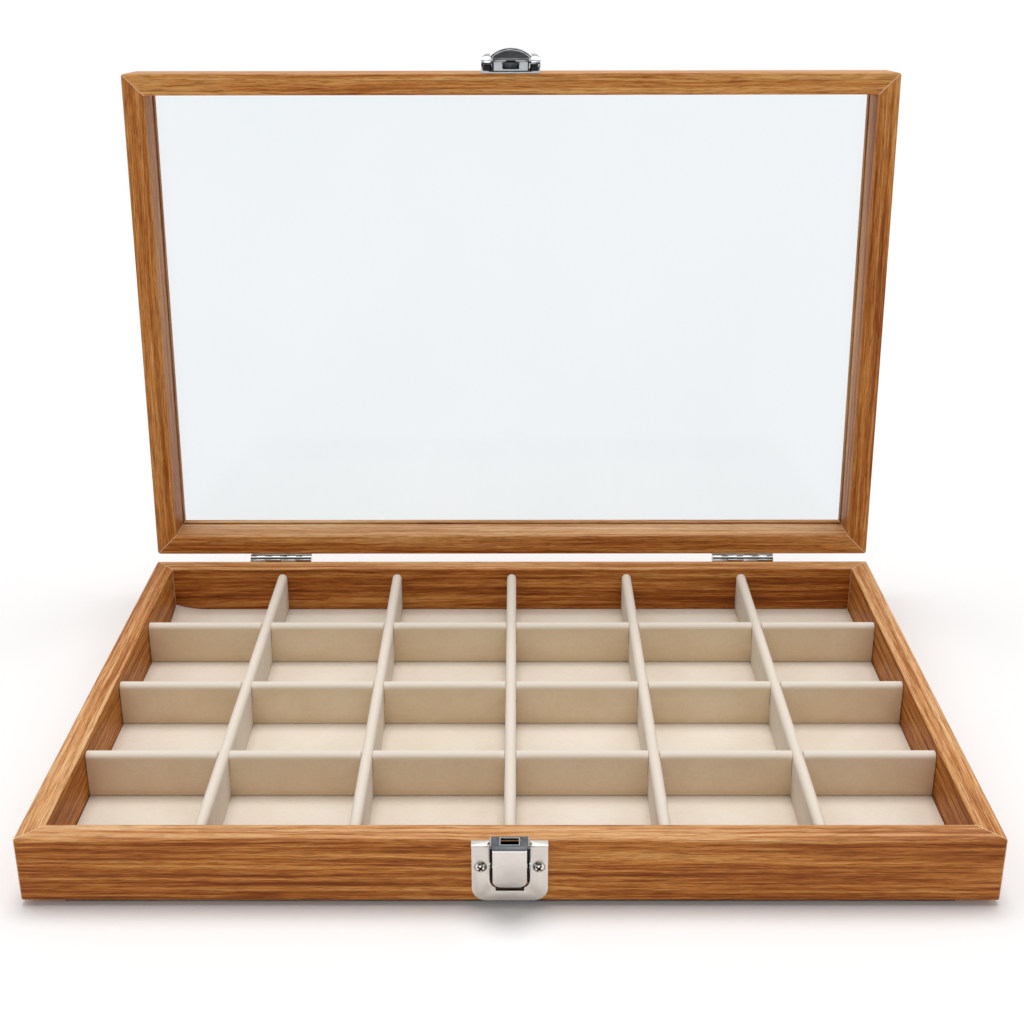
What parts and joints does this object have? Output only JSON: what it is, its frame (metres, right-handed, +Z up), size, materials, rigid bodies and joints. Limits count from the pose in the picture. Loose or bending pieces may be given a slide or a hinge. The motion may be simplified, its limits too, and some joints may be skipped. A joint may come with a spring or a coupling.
{
  "type": "mineral specimen box",
  "caption": "Shallow hardwood box with a hinged glazed lid, a press-lever latch and suede-covered dividers that form a grid of small compartments.",
  "frame": {"origin": "centre of the middle felt strip's underside, on the surface the box stands on", "axes": "+X right along the front, +Y from the front to the back, +Z up; the lid stands open at rest"},
  "size_m": [0.35, 0.2817, 0.2707],
  "materials": {
    "hardwood": "satin oiled, straight fine grain",
    "plywood": "bare birch plywood",
    "suede_floor": "short-nap cream suede",
    "suede_divider": "short-nap cream suede over board",
    "black_felt": "dense felt",
    "clear_glass": "clear float glass",
    "satin_nickel": "satin nickel plate",
    "polished_nickel": "polished nickel plate",
    "blackened_steel": "blackened spring steel"
  },
  "bodies": {
    "base": {"felt_strip_front": "black_felt", "felt_strip_middle": "black_felt", "felt_strip_back": "black_felt", "bottom_panel": "plywood", "floor_pad": "suede_floor", "base_front_rail": "hardwood", "base_back_rail": "hardwood", "base_left_rail": "hardwood", "base_right_rail": "hardwood", "column_divider_1": "suede_divider", "column_divider_2": "suede_divider", "column_divider_3": "suede_divider", "column_divider_4": "suede_divider", "column_divider_5": "suede_divider", "row_divider_1": "suede_divider", "row_divider_2": "suede_divider", "row_divider_3": "suede_divider", "hinge_base_leaf_left": "polished_nickel", "hinge_base_leaf_right": "polished_nickel", "hinge_pin_left": "polished_nickel", "hinge_pin_right": "polished_nickel", "hinge_base_screws": "polished_nickel", "latch_plate": "satin_nickel", "latch_housing": "satin_nickel", "latch_pin": "polished_nickel", "latch_spring": "blackened_steel", "latch_screws": "polished_nickel"},
    "lid": {"lid_front_rail": "hardwood", "lid_back_rail": "hardwood", "lid_left_rail": "hardwood", "lid_right_rail": "hardwood", "glass_pane": "clear_glass", "hinge_lid_leaf_left": "polished_nickel", "hinge_lid_leaf_right": "polished_nickel", "hinge_lid_screws": "polished_nickel", "catch_body": "polished_nickel", "catch_cover": "polished_nickel", "catch_tongue": "blackened_steel", "catch_screws": "polished_nickel"},
    "latch_lever": {"latch_lever": "satin_nickel"}
  },
  "joints": [
    {"name": "lid_hinge", "type": "hinge", "parent": "base", "child": "lid", "pos_m": [0, 0.1175, 0.0281], "axis": [1, 0, 0], "range_deg": [0, 94]},
    {"name": "latch_press", "type": "hinge", "parent": "base", "child": "latch_lever", "pos_m": [0, -0.118, 0.0195], "axis": [1, 0, 0], "range_deg": [0, 12], "stiffness_Nm_per_rad": 0.02, "springref_deg": -5.73, "deforming": ["latch_spring"]}
  ]
}
